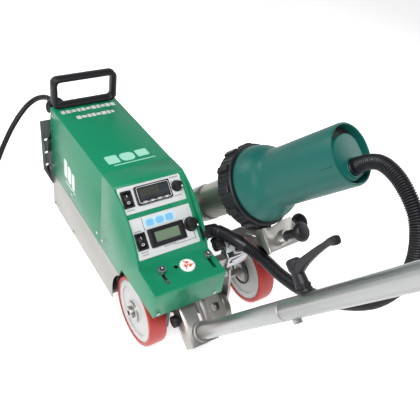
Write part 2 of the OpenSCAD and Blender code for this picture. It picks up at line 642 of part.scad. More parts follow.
placed() chassis_frame();
placed() lower_skirt();
placed() rear_housing();
placed() front_cover();
placed() upper_console_plate();
placed() lower_console_plate();
placed() temperature_controller();
placed() controller_keys();
placed() speed_display();
placed() display_windows();
placed() switch_frames();
placed() blower_switch();
placed() drive_switch();
placed() temperature_knob();
placed() speed_knob();
placed() carrying_handle();
placed() end_bracket();
placed() cable_gland();
placed() housing_screws();
placed() left_thumb_screw();
placed() right_thumb_screw();
placed() deck_badge();
placed() drive_board();
placed() wheel_axle();
placed() wheel_hubs();
placed() tyres();
placed() axle_bearings();
placed() axle_sprocket();
placed() drive_motor();
placed() motor_sprocket();
placed() drive_chain();
placed() front_rollers();
placed() cross_pins();
placed() roller_arm();
placed() steel_roller();
placed() slide_rail();
placed() saddle_clamp();
placed() saddle_knob();
placed() blower_bracket();
placed() tilt_plunger();
placed() side_plunger();
placed() heating_tube();
placed() heating_element();
placed() blower_collar();
placed() blower_shell();
placed() blower_motor();
placed() fan_impeller();
placed() nozzle();
placed() guide_bracket();
placed() bracket_knob();
placed() lower_guide_tube();
placed() upper_guide_tube();
placed() handle_grips();
placed() clamp_lever();
placed() hose_gland();
placed() hose_lower();
placed() hose_upper();
placed() mains_cable();
placed() cable_coil();
placed() mains_plug();
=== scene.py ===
"""Looks of the walk-behind seam roller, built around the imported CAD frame.

Sizes inside this file are millimetres in the machine frame of part.scad: X to the right from the middle of
the body, Y forward from the deck's near edge, Z up from the floor. MACHINE turns them into the row frame in
metres.
"""

import json
import math

import bmesh
import bpy
from mathutils import Matrix, Vector


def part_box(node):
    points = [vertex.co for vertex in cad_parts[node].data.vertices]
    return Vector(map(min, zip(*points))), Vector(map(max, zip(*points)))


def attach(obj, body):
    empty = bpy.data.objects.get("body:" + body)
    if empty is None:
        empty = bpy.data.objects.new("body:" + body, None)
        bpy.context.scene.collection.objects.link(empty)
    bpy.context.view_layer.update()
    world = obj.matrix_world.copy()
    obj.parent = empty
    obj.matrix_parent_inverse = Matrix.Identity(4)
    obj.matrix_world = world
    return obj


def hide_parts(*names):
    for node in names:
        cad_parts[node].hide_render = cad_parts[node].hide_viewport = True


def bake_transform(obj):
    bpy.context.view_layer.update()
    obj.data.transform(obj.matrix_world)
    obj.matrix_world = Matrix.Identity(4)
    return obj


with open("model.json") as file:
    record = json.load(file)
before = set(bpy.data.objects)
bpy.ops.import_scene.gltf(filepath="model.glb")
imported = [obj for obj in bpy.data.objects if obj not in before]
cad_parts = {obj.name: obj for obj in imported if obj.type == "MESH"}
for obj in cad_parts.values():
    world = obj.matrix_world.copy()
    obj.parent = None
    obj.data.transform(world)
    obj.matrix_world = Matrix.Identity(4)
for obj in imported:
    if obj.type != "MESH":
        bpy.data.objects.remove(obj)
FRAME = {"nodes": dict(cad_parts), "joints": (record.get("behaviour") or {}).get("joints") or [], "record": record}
NODES = FRAME["nodes"]
JOINTS = {j["name"]: j for j in FRAME["joints"]}
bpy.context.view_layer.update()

# ---- shared places ----
_low, _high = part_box("front_cover")
MACHINE = Matrix.Translation(((_low.x + _high.x) / 2, _low.y, 0)) @ Matrix.Scale(0.001, 4)
ROOF_Z, BROW_Z, DECK_Z, BODY_L = 297, 309, 208, 474
CONSOLE_SLOPE, GUIDE_LEAN, BRACKET_TURN = 41.96, 34, -12.6
WHEEL_Y, WHEEL_Z = 85.6, 71
WHEEL_W = 36
LEVER_S = 365
CONSOLE = (MACHINE @ Matrix.Translation((0, 171, BROW_Z - 1))
           @ Matrix.Rotation(math.radians(CONSOLE_SLOPE), 4, "X"))
GUIDE = MACHINE @ Matrix.Translation((16, -22, 89)) @ Matrix.Rotation(math.radians(GUIDE_LEAN), 4, "X")


def axes(origin, x, y, z):
    """A frame in millimetres with its origin at a row-frame point."""
    turn = Matrix((x, y, z)).transposed().to_4x4()
    return Matrix.Translation(origin) @ turn @ Matrix.Scale(0.001, 4)


_bz = Vector(JOINTS["fan_turn"]["axis"]).normalized()
_by = Vector((0, 0, 1)).cross(_bz).normalized()
BLOWER = axes(Vector(JOINTS["fan_turn"]["pos_m"]), _by.cross(_bz), _by, _bz)
BRACKET = BLOWER @ Matrix.Rotation(math.radians(BRACKET_TURN), 4, "Z")


def turned(frame, at, axis_x=0, axis_y=0, axis_z=0):
    """The frame moved to a place in it and turned, in degrees."""
    return (frame @ Matrix.Translation(at) @ Matrix.Rotation(math.radians(axis_z), 4, "Z")
            @ Matrix.Rotation(math.radians(axis_y), 4, "Y") @ Matrix.Rotation(math.radians(axis_x), 4, "X"))


# ---- materials ----
def material(name, colour, rough, metal=0.0, tone=0.08, tone_scale=9.0, grain=0.2, grain_size=0.6,
             stretch=(1, 1, 1), spread=0.08, coat=0.0, fleck=0.0, **sockets):
    """A principled material: slow tone drift, fine grain in bump and roughness, and optional dark flecks."""
    m = bpy.data.materials.new(name)
    m.use_nodes = True
    n, link = m.node_tree.nodes, m.node_tree.links.new
    shader = n["Principled BSDF"]
    where = n.new("ShaderNodeTexCoord")
    drift = n.new("ShaderNodeTexNoise")
    drift.inputs["Scale"].default_value = tone_scale
    drift.inputs["Detail"].default_value = 3
    link(where.outputs["Object"], drift.inputs["Vector"])
    mix = n.new("ShaderNodeMix")
    mix.data_type = "RGBA"
    mix.inputs[6].default_value = [c * (1 - tone) for c in colour] + [1]
    mix.inputs[7].default_value = [min(1, c * (1 + tone)) for c in colour] + [1]
    link(drift.outputs["Fac"], mix.inputs[0])
    stretched = n.new("ShaderNodeMapping")
    stretched.inputs["Scale"].default_value = stretch
    link(where.outputs["Object"], stretched.inputs["Vector"])
    fine = n.new("ShaderNodeTexNoise")
    fine.inputs["Scale"].default_value = 1000 / grain_size
    fine.inputs["Detail"].default_value = 2
    link(stretched.outputs["Vector"], fine.inputs["Vector"])
    range_ = n.new("ShaderNodeMapRange")
    range_.inputs["To Min"].default_value = max(0.02, rough - spread)
    range_.inputs["To Max"].default_value = min(1, rough + spread)
    link(fine.outputs["Fac"], range_.inputs["Value"])
    link(range_.outputs["Result"], shader.inputs["Roughness"])
    bump = n.new("ShaderNodeBump")
    bump.inputs["Strength"].default_value = grain
    bump.inputs["Distance"].default_value = 0.0002
    link(fine.outputs["Fac"], bump.inputs["Height"])
    link(bump.outputs["Normal"], shader.inputs["Normal"])
    colour_out = mix.outputs[2]
    if fleck:
        spots = n.new("ShaderNodeTexVoronoi")
        spots.inputs["Scale"].default_value = 420
        link(where.outputs["Object"], spots.inputs["Vector"])
        limit = n.new("ShaderNodeMapRange")
        limit.inputs["From Min"].default_value = 0.05
        limit.inputs["From Max"].default_value = 0.25
        limit.inputs["To Min"].default_value = fleck
        limit.inputs["To Max"].default_value = 0
        link(spots.outputs["Distance"], limit.inputs["Value"])
        over = n.new("ShaderNodeMix")
        over.data_type = "RGBA"
        over.inputs[7].default_value = [c * 0.45 for c in colour] + [1]
        link(limit.outputs["Result"], over.inputs[0])
        link(colour_out, over.inputs[6])
        colour_out = over.outputs[2]
    link(colour_out, shader.inputs["Base Color"])
    shader.inputs["Metallic"].default_value = metal
    shader.inputs["Coat Weight"].default_value = coat
    for key, value in sockets.items():
        shader.inputs[key.replace("_", " ")].default_value = value
    return m


MAT = {
    "green_paint": material("green_powder_coat", (0.005, 0.205, 0.098), 0.38, tone=0.05, grain=0.2,
        grain_size=1.6, coat=0.06, Specular_IOR_Level=0.4),
    "stainless": material("brushed_stainless", (0.36, 0.35, 0.33), 0.36, 0.85, grain=0.25,
        stretch=(0.04, 0.04, 1), spread=0.12),
    "chassis_steel": material("dark_satin_steel", (0.075, 0.08, 0.085), 0.42, 0.5, grain=0.3, fleck=0.3),
    "plate_white": material("silver_panel", (0.66, 0.67, 0.68), 0.33, 0.15, tone=0.03, grain=0.15,
        stretch=(0.05, 1, 1), coat=0.2),
    "black_plastic": material("black_moulded_plastic", (0.009, 0.009, 0.011), 0.46, grain=0.35,
        grain_size=0.9, fleck=0.2, Specular_IOR_Level=0.32),
    "key_rubber": material("grey_key_rubber", (0.30, 0.31, 0.33), 0.6, grain=0.3),
    "dark_glass": material("smoked_window", (0.03, 0.035, 0.04), 0.08, tone=0.2, grain=0.05,
        spread=0.02, coat=1.0),
    "white_plastic": material("white_gloss_plastic", (0.82, 0.82, 0.80), 0.25, tone=0.03, grain=0.1,
        coat=0.3),
    "board_green": material("circuit_board", (0.01, 0.16, 0.07), 0.4, tone_scale=60, tone=0.4,
        grain=0.3, fleck=0.5),
    "steel": material("turned_steel", (0.40, 0.395, 0.38), 0.33, 1.0, grain=0.25, stretch=(1, 0.08, 0.08)),
    "bright_steel": material("polished_steel", (0.46, 0.47, 0.49), 0.22, 1.0, tone=0.04, grain=0.08,
        spread=0.05),
    "hub_grey": material("cast_hub", (0.50, 0.50, 0.49), 0.42, 0.1, grain=0.4, grain_size=1.4, fleck=0.15),
    "red_tyre": material("red_polyurethane", (0.38, 0.016, 0.009), 0.46, tone=0.1, grain=0.3,
        grain_size=1.2, coat=0.15),
    "aluminium": material("drawn_aluminium", (0.37, 0.375, 0.375), 0.36, 0.9, grain=0.22,
        stretch=(1, 0.08, 0.05), spread=0.1),
    "teal_plastic": material("teal_moulded_plastic", (0.003, 0.092, 0.075), 0.42, tone=0.07,
        grain=0.3, grain_size=1.3, coat=0.05, Specular_IOR_Level=0.35),
    "ceramic": material("fired_ceramic", (0.70, 0.60, 0.48), 0.8, tone=0.15, grain=0.5, fleck=0.4),
    "black_rubber": material("black_rubber", (0.006, 0.006, 0.008), 0.4, grain=0.35, grain_size=0.8,
        Specular_IOR_Level=0.35),
    "grip_rubber": material("grip_rubber", (0.016, 0.016, 0.017), 0.65, grain=0.5, grain_size=1.1),
    "bearing_steel": material("bearing_steel", (0.55, 0.57, 0.60), 0.22, 1.0, grain=0.2,
        stretch=(1, 0.1, 0.1)),
}
RED_MARK = material("orange_red_print", (0.75, 0.10, 0.03), 0.35, grain=0.1, coat=0.3)
BLUE_MARK = material("light_blue_print", (0.17, 0.47, 0.72), 0.35, grain=0.1, coat=0.3)
MINT_MARK = material("mint_print", (0.30, 0.62, 0.50), 0.35, grain=0.1, coat=0.3)
PALE_MARK = material("pale_print", (0.62, 0.70, 0.66), 0.35, grain=0.1, coat=0.3)
LINE_BLACK = material("black_print", (0.02, 0.02, 0.025), 0.5, grain=0.1)
LINE_WHITE = material("white_print", (0.80, 0.80, 0.78), 0.45, grain=0.1)
LCD = material("lcd_window", (0.145, 0.20, 0.135), 0.16, tone=0.15, tone_scale=40, grain=0.05,
    spread=0.03, coat=1.0)
DULL_STEEL = material("dull_turned_steel", (0.20, 0.195, 0.18), 0.34, 0.9, tone=0.15, grain=0.3,
    stretch=(1, 0.08, 0.08))
TEMPERED = material("heat_tinted_steel", (0.27, 0.27, 0.23), 0.34, 0.85, tone=0.3, tone_scale=14,
    grain=0.25, stretch=(1, 1, 0.1))
LCD_DARK = material("dark_lcd", (0.045, 0.05, 0.04), 0.16, tone=0.15, tone_scale=60, grain=0.05,
    spread=0.03, coat=1.0)
PALE_GREY = material("grey_print", (0.60, 0.60, 0.58), 0.45, grain=0.1)
CAPTION_GREY = material("caption_print", (0.33, 0.32, 0.33), 0.5, grain=0.1)
GREEN_MARK = material("dark_green_print", (0.006, 0.16, 0.075), 0.35, grain=0.1, coat=0.2)
BLUE_PALE = material("pale_blue_print", (0.50, 0.66, 0.74), 0.4, grain=0.1)
BRASS = material("brass_bush", (0.60, 0.47, 0.26), 0.28, 1.0, grain=0.2, stretch=(0.1, 0.1, 1))


# ---- mesh building, in millimetres ----
def round_rect(w, h, r, at=(0, 0), n=5):
    """Outline of a rounded rectangle."""
    out = []
    for cx, cy, start in ((1, 1, 0), (-1, 1, 90), (-1, -1, 180), (1, -1, 270)):
        for k in range(n + 1):
            a = math.radians(start + 90 * k / n)
            x = at[0] + cx * (w / 2 - r) + r * math.cos(a)
            y = at[1] + cy * (h / 2 - r) + r * math.sin(a)
            out.append((x, y))
    return out


def circle(r, n=40):
    angles = [2 * math.pi * k / n for k in range(n)]
    return [(r * math.cos(a), r * math.sin(a)) for a in angles]


class Piece:
    """Collects shapes in one frame, then becomes a mesh that rides on a CAD body."""

    def __init__(self, frame):
        self.bm = bmesh.new()
        self.frame = frame

    def skin(self, rings, close=True, cap=(True, True)):
        """Faces between rings of points of the same length."""
        made = [[self.bm.verts.new(p) for p in r] for r in rings]
        for a, b in zip(made, made[1:]):
            for k in range(len(a) if close else len(a) - 1):
                m = (k + 1) % len(a)
                self.bm.faces.new((a[k], a[m], b[m], b[k]))
        if cap[0]:
            self.bm.faces.new(list(reversed(made[0])))
        if cap[1]:
            self.bm.faces.new(made[-1])
        return self

    def prism(self, outline, z0, z1, place=Matrix.Identity(4)):
        return self.skin([[place @ Vector((x, y, z)) for x, y in outline] for z in (z0, z1)])

    def frame_strip(self, outer, inner, z0, z1, place=Matrix.Identity(4)):
        """A flat frame between two outlines of the same number of points."""
        def lift(line, z):
            return [place @ Vector((x, y, z)) for x, y in line]
        lines = [lift(inner, z0), lift(outer, z0), lift(outer, z1), lift(inner, z1), lift(inner, z0)]
        return self.skin(lines, cap=(False, False))

    def lathe(self, profile, sides=48, place=Matrix.Identity(4), shape=lambda a, z: 1.0, closed=False):
        """Turns (radius, height) points about Z. shape scales the radius by angle and height."""
        rings = [[place @ Vector((r * shape(a, z) * math.cos(a), r * shape(a, z) * math.sin(a), z))
                  for a in (2 * math.pi * k / sides for k in range(sides))] for r, z in profile]
        if closed:
            return self.skin(rings + [rings[0]], cap=(False, False))
        return self.skin(rings, cap=(profile[0][0] > 0, profile[-1][0] > 0))

    def tube(self, path, radius, sides=14, cap=True):
        """A round tube along points; radius is a number or a function of the distance along it."""
        rings, run, side = [], 0.0, None
        for i, p in enumerate(path):
            ahead = (path[min(i + 1, len(path) - 1)] - path[max(i - 1, 0)]).normalized()
            if side is None:
                side = ahead.orthogonal().normalized()
            side = (side - ahead * side.dot(ahead)).normalized()
            up = ahead.cross(side)
            if i:
                run += (p - path[i - 1]).length
            r = radius(run) if callable(radius) else radius
            angles = [2 * math.pi * k / sides for k in range(sides)]
            rings.append([p + r * (math.cos(a) * side + math.sin(a) * up) for a in angles])
        return self.skin(rings, cap=(cap, cap))

    def make(self, name, mat, body=None, slot=None, angle=35, bevel=0.0, instead=()):
        bmesh.ops.remove_doubles(self.bm, verts=self.bm.verts, dist=1e-4)
        bmesh.ops.recalc_face_normals(self.bm, faces=self.bm.faces)
        mesh = bpy.data.meshes.new(name)
        self.bm.to_mesh(mesh)
        self.bm.free()
        mesh.transform(self.frame)
        obj = bpy.data.objects.new(name, mesh)
        bpy.context.scene.collection.objects.link(obj)
        mesh.materials.append(mat)
        soften(obj, angle, bevel)
        if body:
            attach(obj, body)
        if instead:
            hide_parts(*instead)
        return obj


def soften(obj, angle, bevel):
    """Smooth shading up to an angle, and a small rounding on the sharper edges."""
    obj.data.polygons.foreach_set("use_smooth", [True] * len(obj.data.polygons))
    obj.data.set_sharp_from_angle(angle=math.radians(angle))
    if bevel:
        mod = obj.modifiers.new("rounding", "BEVEL")
        mod.width = bevel / 1000
        mod.segments = 2
        mod.limit_method = "ANGLE"
        mod.angle_limit = math.radians(max(angle, 30))
        mod.harden_normals = True


# ---- camera, light and floor ----
def set_stage():
    az, el, roll = math.radians(-38.8), math.radians(40.0), math.radians(-10.3)
    back = Vector((math.sin(az) * math.cos(el), -math.cos(az) * math.cos(el), math.sin(el)))
    right = (-back).cross(Vector((0, 0, 1))).normalized()
    up = right.cross(-back)
    side = right * math.cos(roll) - up * math.sin(roll)
    top = right * math.sin(roll) + up * math.cos(roll)
    data = bpy.data.cameras.new("camera")
    data.lens, data.sensor_width, data.clip_start = 48.8, 36, 0.02
    camera = bpy.data.objects.new("camera", data)
    stand = MACHINE @ Vector((-406.2, -517.8, 927.2))
    camera.matrix_world = Matrix.Translation(stand) @ Matrix((side, top, back)).transposed().to_4x4()
    bpy.context.scene.collection.objects.link(camera)
    bpy.context.scene.camera = camera
    for name, at, aim, power, size in (
            ("key", (-700, -700, 1900), (0, 150, 150), 46, 0.9),
            ("fill", (1500, 100, 900), (50, 100, 200), 8, 1.2),
            ("rim", (-900, 1300, 1500), (0, 150, 200), 12, 1.0)):
        lamp = bpy.data.lights.new(name, "AREA")
        lamp.energy, lamp.size = power, size
        obj = bpy.data.objects.new(name, lamp)
        start, end = MACHINE @ Vector(at), MACHINE @ Vector(aim)
        obj.location = start
        obj.rotation_euler = (end - start).to_track_quat("-Z", "Y").to_euler()
        bpy.context.scene.collection.objects.link(obj)
    world = bpy.data.worlds.new("studio")
    bpy.context.scene.world = world
    world.use_nodes = True
    n, link = world.node_tree.nodes, world.node_tree.links.new
    where = n.new("ShaderNodeTexCoord")
    split = n.new("ShaderNodeSeparateXYZ")
    ramp = n.new("ShaderNodeValToRGB")
    link(where.outputs["Generated"], split.inputs[0])
    link(split.outputs["Z"], ramp.inputs[0])
    ramp.color_ramp.elements[0].color = (0.95, 0.96, 0.98, 1)
    ramp.color_ramp.elements[0].position = 0.08
    ramp.color_ramp.elements[1].color = (0.10, 0.10, 0.11, 1)
    ramp.color_ramp.elements[1].position = 0.6
    link(ramp.outputs[0], n["Background"].inputs["Color"])
    n["Background"].inputs["Strength"].default_value = 0.75
    floor = Piece(MACHINE).prism([(-5000, -5000), (5000, -5000), (5000, 5000), (-5000, 5000)], -4, -1.6)
    paper = material("white_paper", (0.85, 0.85, 0.85), 0.9, tone=0.01, grain=0.05)
    glow = paper.node_tree.nodes["Principled BSDF"].inputs
    glow["Emission Color"].default_value = (1, 1, 1, 1)
    glow["Emission Strength"].default_value = 0.62
    floor.make("floor", paper)
    view = bpy.context.scene.view_settings
    view.view_transform, view.look = "Standard", "None"


set_stage()


# ---- cords ----
def spline(points, n):
    """A smooth run through given points, as in part.scad."""
    p, out = [Vector(q) for q in points], []
    for i in range(len(p) - 1):
        a, b, c, d = p[max(i - 1, 0)], p[i], p[i + 1], p[min(i + 2, len(p) - 1)]
        for j in range(n):
            t = j / n
            bend = (2 * a - 5 * b + 4 * c - d) * t * t
            out.append(0.5 * (2 * b + (c - a) * t + bend + (3 * b - a - 3 * c + d) * t ** 3))
    return out + [p[-1]]


def length_of(path):
    return sum((b - a).length for a, b in zip(path, path[1:]))


def even(path, step):
    """The same run, with points the same distance apart."""
    total = length_of(path)
    count = max(2, round(total / step))
    out, want, run = [path[0]], total / count, 0.0
    for a, b in zip(path, path[1:]):
        span = (b - a).length
        while run + span >= want * len(out) - 1e-9 and len(out) < count:
            out.append(a.lerp(b, (want * len(out) - run) / span))
        run += span
    return out + [path[-1]]


HOSE_LOW = [(92, 77, 229.5), (100, 62, 233), (110, 35, 235), (126, 10, 228), (140, -12, 220),
            (146, -54, 218), (150, -96, 225)]
HOSE_HIGH = [(150.2, -98.5, 226), (154, -140, 244), (160, -186, 275), (167, -225, 318), (171, -246, 372),
             (174, -246, 426), (178, -222, 473), (182, -180, 500), (185, -140, 505), (185, -112, 490),
             (183, -88, 460)]
PLUG_AT = (-352, 236, 20.5)
CABLE = [(-54, 507.8, 288), (-56, 523.5, 286.2), (-62.5, 538, 281), (-72, 548.5, 273), (-83.5, 553.8, 263),
         (-97, 553.5, 251.5), (-116, 548.5, 233), (-138, 540, 207), (-161, 529, 174), (-185, 516.5, 134),
         (-209, 503, 93), (-234, 489, 56), (-259, 475, 28), (-285, 463, 10.8), (-312, 454, 6.2),
         (-340, 450.5, 5.7)]


HOSE_PITCH, HOSE_ROOT, HOSE_CREST, SLEEVE_END = 3.6, 9.5, 2.0, 66
LEAD_R = 5.5


def corrugated(run):
    """Radius of the ribbed hose at a distance along it."""
    wave = 0.5 + 0.5 * math.cos(2 * math.pi * run / HOSE_PITCH)
    return HOSE_ROOT + HOSE_CREST * min(1.0, 1.5 * wave)


def sleeved(run):
    """The same hose under the smooth sleeve at the body."""
    if run < SLEEVE_END:
        return 11.9 + (0.7 if 7 < run < 11 else 0)
    return corrugated(run)


def hose(name, points, node, radius=corrugated):
    path = even(spline(points, 12), 0.6)
    obj = Piece(MACHINE).tube(path, radius, 22).make(
        name, MAT["black_rubber"], slot="black_rubber", angle=70, instead=[node])
    line = [MACHINE @ p for p in even(spline(points, 12), 8)]
    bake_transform(obj)


hose("hose_from_body", HOSE_LOW, "hose_lower",
     sleeved)
hose("hose_to_blower", HOSE_HIGH, "hose_upper")


def mains_lead():
    """The lead falls to the floor, lies in a coil of two layers, and ends in a plug beside it."""
    cx, cy, turns, down = -345, 368, 5.267, 2.634
    outer_r, pitch = 80.5, 11.3
    start = math.radians(84)
    coil = []
    steps = int(turns * 40)
    for k in range(1, steps + 1):
        t = k / steps * turns
        angle = start + 2 * math.pi * t
        inner, up = outer_r - pitch * down, min(1, max(0, t - down) / 0.3)
        r = outer_r - pitch * t if t < down else inner + pitch * (t - down)
        z = LEAD_R + pitch * (3 * up ** 2 - 2 * up ** 3)
        coil.append(Vector((cx + r * math.cos(angle), cy + r * math.sin(angle), z)))
    route = spline(CABLE, 4) + coil
    px, py = PLUG_AT[:2]
    tail_r = 50
    rises = ((180, 5.8), (204, 6.5), (228, 10), (252, 16), (270, 20.2))
    tail = [coil[-1], (coil[-1].x, cy - 18, 16.8), (coil[-1].x, cy - 36, 14.2), (coil[-1].x, cy - 60, 8)]
    for degrees, z in rises:
        a = math.radians(degrees)
        tail.append((px - 24 + tail_r * math.cos(a), py + tail_r + tail_r * math.sin(a), z))
    route += spline(tail + [PLUG_AT], 4)[1:]
    lead = Piece(MACHINE).tube(even(route, 3), LEAD_R, 14).make(
        "mains_lead", MAT["black_rubber"], "chassis", "black_rubber", angle=60,
        instead=["mains_cable", "cable_coil"])
    plug = Piece(turned(MACHINE, PLUG_AT, axis_y=90))
    folds = [(6.2 + 0.12 * i + (0.9 if i % 2 else 0), -25 + 1.9 * i) for i in range(13)]
    relief = [(5.7, -26)] + folds + [(8.5, 0)]
    ridges = [(13 + 0.28 * i + (0.7 if i % 2 else 0), 3 + 1.5 * i) for i in range(20)]
    body = [(11.5, 0.1), (12.6, 2)] + ridges
    plug.lathe(relief + body + [(20, 38), (20.3, 40), (20.3, 45), (19.3, 46), (0, 46)], 40)
    plug = plug.make("plug_body", MAT["black_plastic"], "chassis", "black_plastic", angle=30,
                     instead=["mains_plug"])
    pins = Piece(turned(MACHINE, PLUG_AT, axis_y=90))
    for y in (-9.5, 9.5):
        pins.lathe([(2.4, 45.5), (2.4, 62), (1.9, 63.6), (0, 64)], 20, Matrix.Translation((0, y, 0)))
    pins = pins.make("plug_pins", MAT["bright_steel"], "chassis", "bright_steel")


mains_lead()


# ---- printed marks, all generic ----
def bars(frame, mat, name, spots, body="chassis", slot="plate_white", thick=0.25):
    """Flat printed blocks: each spot is (x, y, width, height, corner)."""
    piece = Piece(frame)
    for x, y, w, h, r in spots:
        piece.prism(round_rect(w, h, r, (x, y), 3), 0.02, thick)
    return piece.make(name, mat, body, slot)


def roof_frame(y):
    """On the sloping roof at a distance y, X across and Y towards the far end."""
    drop = math.degrees(math.atan2(BROW_Z - 3 - ROOF_Z, BODY_L - 4 - 217))
    z = ROOF_Z + (BODY_L - 4 - y) * (BROW_Z - 3 - ROOF_Z) / (BODY_L - 4 - 217)
    return turned(MACHINE, (0, y, z), axis_x=-drop)


def words(x0, x1, height, gap, seed):
    """A row of uneven blocks in the place of a word."""
    spots, x, k = [], x0, seed
    while x < x1 - 3:
        w = min(7 + (k * 5) % 4, x1 - x)
        spots.append((x + w / 2, 0, w, height if k % 3 else height * 0.72, 1.2))
        x += w + gap
        k += 1
    return spots


bars(roof_frame(440), PALE_GREY, "roof_marks_far", words(-58, 58, 12.5, 2.2, 1))
bars(roof_frame(412), PALE_GREY, "roof_marks_near", words(-36, 44, 12, 2.0, 2))
bars(roof_frame(251), MINT_MARK, "roof_block_marks",
     [(-34, 0, 24, 25, 3), (-4, 0, 28, 25, 9), (27, 2, 24, 21, 3), (3, -19, 84, 2.4, 1)])
LEFT_SIDE = turned(MACHINE, (-70, 0, 0), axis_x=90, axis_z=-90)
bars(LEFT_SIDE, PALE_MARK, "side_block_marks",
     [(-392, 196, 16, 44, 4), (-372, 192, 18, 42, 7), (-352, 188, 14, 40, 4), (-368, 163, 52, 3, 1)])
bars(turned(MACHINE, (0, 0, 0), axis_x=90), GREEN_MARK, "front_face_marks",
     [(-19, 181, 13, 34, 2), (-2, 181, 15, 34, 5), (44, 190, 25, 25, 11)])


# ---- console ----
SWITCHES = {"upper": (-52, -25), "lower": (-50, -101)}


def console_pieces():
    at = turned(CONSOLE, (-2, -24, 7.5))
    Piece(at).frame_strip(round_rect(63, 28.6, 3.2), round_rect(61.8, 27.4, 2.6), 0.0, 0.25).make(
        "controller_outline", LINE_WHITE, "chassis", "plate_white")
    Piece(at).prism(round_rect(37, 15, 1, (-7, 3.5)), -0.95, -0.75).make(
        "controller_lcd", LCD_DARK, "chassis", "dark_glass")
    marks = Piece(turned(CONSOLE, (0, -37.5, 8.7)))
    for k in range(4):
        x = -23 + 14 * k
        marks.prism([(x - 1.6, -1.0), (x + 1.6, -1.0), (x, 1.3)], 0.02, 0.2)
    marks.make("key_marks", LINE_WHITE, "chassis", "plate_white")
    Piece(turned(CONSOLE, (0, -101, 5.8))).prism(round_rect(47.4, 17.4, 0.4), 0.02, 0.3).make(
        "speed_lcd", LCD, "chassis", "dark_glass")
    bars(turned(CONSOLE, (-2, -73, 1.5)), BLUE_PALE, "blue_block_ground", [(-2, 0, 62, 17, 2)])
    bars(turned(CONSOLE, (-2, -73, 1.75)), BLUE_MARK, "blue_block_marks",
         [(-22, 0, 15, 12, 3), (-3, 0, 17, 12, 5), (16, 0, 15, 12, 3)])
    lines = Piece(turned(CONSOLE, (0, 0, 1.5)))
    lines.prism(round_rect(0.8, 24, 0.2, (-37.5, -73)), 0.02, 0.2)
    lines.prism(round_rect(0.8, 12, 0.2, (52, -117)), 0.02, 0.2)
    lines.prism(round_rect(44, 0.8, 0.2, (30.4, -123)), 0.02, 0.2)
    for centre, radius in (((50, -97), 15.4), ((46, -24), 12.2)):
        arc = [math.radians(a) for a in range(120, 181, 10)]
        rim = [(radius + 1, a) for a in arc] + [(radius, a) for a in reversed(arc)]
        lines.prism([(centre[0] + r * math.cos(a), centre[1] + r * math.sin(a)) for r, a in rim], 0.02, 0.2)
    lines.make("console_lines", LINE_BLACK, "chassis", "plate_white")
    bars(turned(CONSOLE, (0, 0, 1.5)), CAPTION_GREY, "console_captions",
         [(x, y, w, 2.2, 0.6) for x, y, w in
          ((-51, -44.5, 15), (45, -7, 17), (44, -41, 14), (-51, -83, 13),
           (-50, -120.5, 15), (-49, -125, 12), (0, -121, 24))])
    for name, (u, v) in SWITCHES.items():
        body = "upper_rocker" if name == "upper" else "lower_rocker"
        low, high = turned(CONSOLE, (u, v, -6), axis_x=27), turned(CONSOLE, (u, v, -6), axis_x=-27)
        Piece(low).frame_strip(circle(2.7, 24), circle(1.8, 24), 12.86, 13.05).make(
            f"{name}_switch_o", LINE_WHITE, body, "plate_white")
        Piece(high).prism(round_rect(0.9, 5, 0.3), 12.86, 13.05).make(
            f"{name}_switch_i", LINE_WHITE, body, "plate_white")
    for node, body, (u, v), r in (("temperature_knob", "temperature_dial", (46, -24), 9),
                                  ("speed_knob", "speed_dial", (50, -97), 12)):
        def ribs(a, z, r=r):
            return 1 - 0.07 * (0.5 + 0.5 * math.cos(20 * a)) if 2.2 < z < 11.8 else 1
        profile = [(r + 1.5, 0), (r + 1.4, 1.2), (r + 0.5, 2), (r, 2.4), (r - 0.3, 6), (r - 0.9, 11.6),
                   (r - 1.8, 12.8), (r - 2.4, 13), (0, 12.6)]
        Piece(turned(CONSOLE, (u, v, 1.9))).lathe(profile, 88, shape=ribs).make(
            node + "_body", MAT["black_plastic"], body, "black_plastic", instead=[node])
        dot = Piece(turned(CONSOLE, (u + (r - 3.4) * 0.82, v - (r - 3.4) * 0.57, 14.4)))
        dot.lathe([(1.6, 0), (1.6, 0.45), (1.2, 0.55), (0, 0.6)], 16)
        dot.make(node + "_dot", LINE_WHITE, body, "plate_white")


console_pieces()


# ---- deck ----
def thumb_screw(side, x, y):
    def knurl(a, z):
        return 1 - 0.05 * (0.5 + 0.5 * math.cos(26 * a)) if 14.5 < z < 20 else 1
    profile = [(2.0, 0), (2.0, 12), (4.6, 12.3), (5.2, 13), (7.6, 14.6), (7.8, 17), (7.6, 19.9),
               (6.2, 21.6), (3.2, 22.5), (2.9, 20.4), (0, 20.3)]
    Piece(turned(MACHINE, (x, y, DECK_Z - 10))).lathe(profile, 52, shape=knurl).make(
        f"{side}_thumb_screw_head", MAT["bright_steel"], f"{side}_screw", "steel", angle=28,
        instead=[f"{side}_thumb_screw"])


thumb_screw("left", -36, 43)
thumb_screw("right", 57, 42)
DECK = turned(MACHINE, (13, 38, DECK_Z + 1.22), axis_x=1.91)
Piece(DECK).lathe([(14, 0), (14, 1.9), (13.4, 2.7), (12, 3.05), (6, 3.25), (0, 3.3)], 48).make(
    "deck_badge_cap", MAT["white_plastic"], "chassis", "white_plastic", instead=["deck_badge"])
badge = Piece(DECK)
for turn in (80, 200, 320):
    place = Matrix.Rotation(math.radians(turn), 4, "Z")
    badge.prism(round_rect(4.6, 7.2, 1.8, (5.0, 0)), 3.2, 3.42, place)
    badge.prism(round_rect(2.2, 3.4, 1.0, (8.4, 4.2)), 3.05, 3.4, place)
badge.prism(circle(1.7, 16), 3.25, 3.5)
badge.make("deck_badge_marks", RED_MARK, "chassis", "white_plastic")

